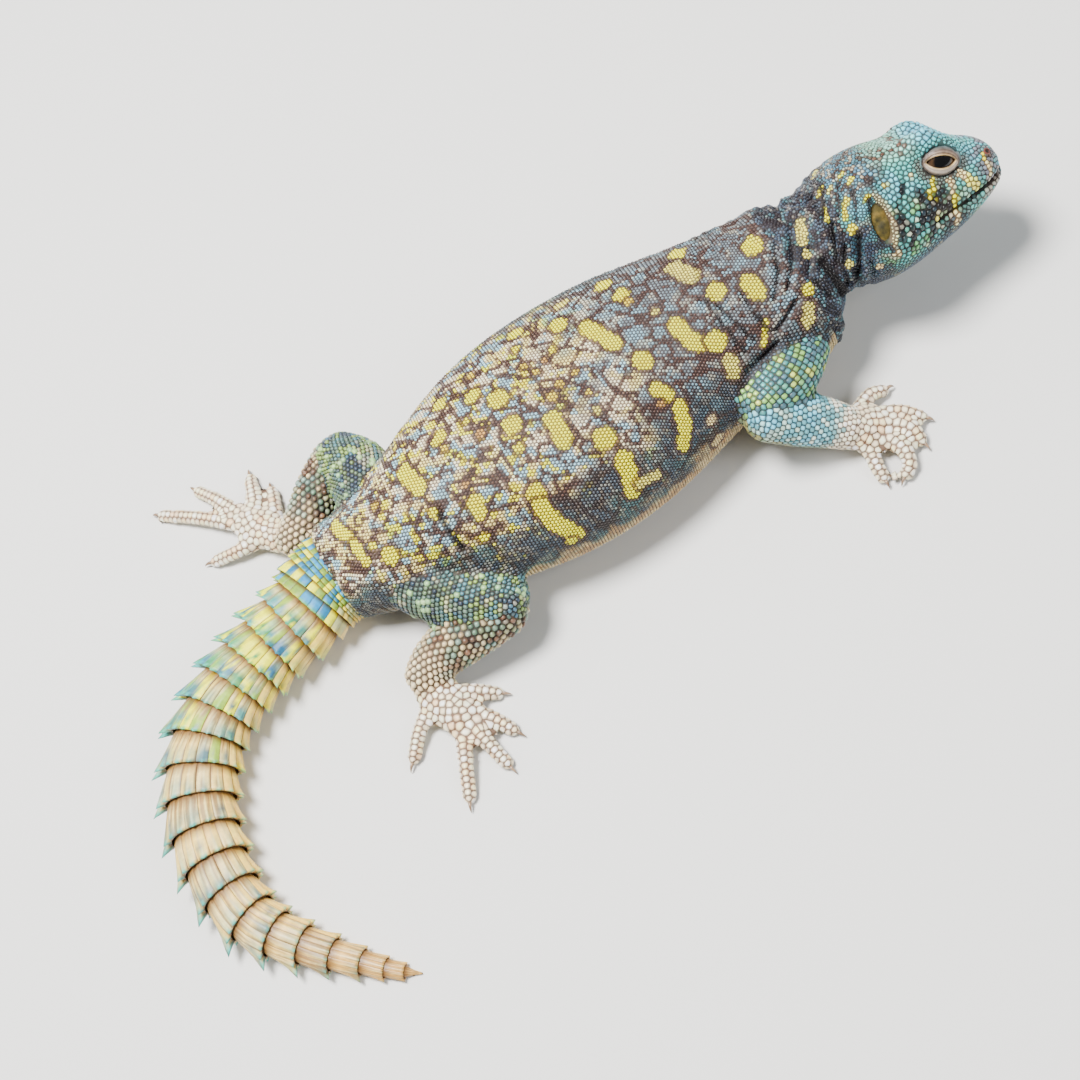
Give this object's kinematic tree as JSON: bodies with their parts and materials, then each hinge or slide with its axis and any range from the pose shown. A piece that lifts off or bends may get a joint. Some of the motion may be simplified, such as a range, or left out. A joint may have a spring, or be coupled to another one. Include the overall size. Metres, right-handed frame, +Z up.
{
  "type": "lizard",
  "caption": "Life-size still model of an ornate uromastyx lizard resting on its belly, head raised and turned, with a spiny ringed tail curled to one side.",
  "frame": {"origin": "centre of the outline's box at floor level", "axes": "+X runs along the body to the head, +Y to the animal's left, +Z up from the floor"},
  "size_m": [0.2556, 0.1468, 0.045],
  "materials": {
    "body_skin": "small dull bead scales, grey-blue flanks and brown and cream back with yellow spots",
    "head_skin": "turquoise and green bead scales with dark gaps",
    "tail_skin": "hard ivory and tan scutes with blue-grey tips",
    "leg_skin": "turquoise to grey-green square scales",
    "foot_skin": "pale pinkish scales with brown gaps",
    "eye": "wet black"
  },
  "bodies": {
    "root": {"head": "head_skin", "eye_r": "eye", "eye_l": "eye", "neck": "body_skin", "torso": "body_skin", "tail_1": "tail_skin", "tail_2": "tail_skin", "tail_3": "tail_skin", "tail_4": "tail_skin", "tail_5": "tail_skin", "upper_arm_r": "leg_skin", "forearm_r": "leg_skin", "hand_r": "foot_skin", "upper_arm_l": "leg_skin", "forearm_l": "leg_skin", "hand_l": "foot_skin", "thigh_r": "leg_skin", "shin_r": "leg_skin", "foot_r": "foot_skin", "thigh_l": "leg_skin", "shin_l": "leg_skin", "foot_l": "foot_skin"}
  },
  "joints": []
}
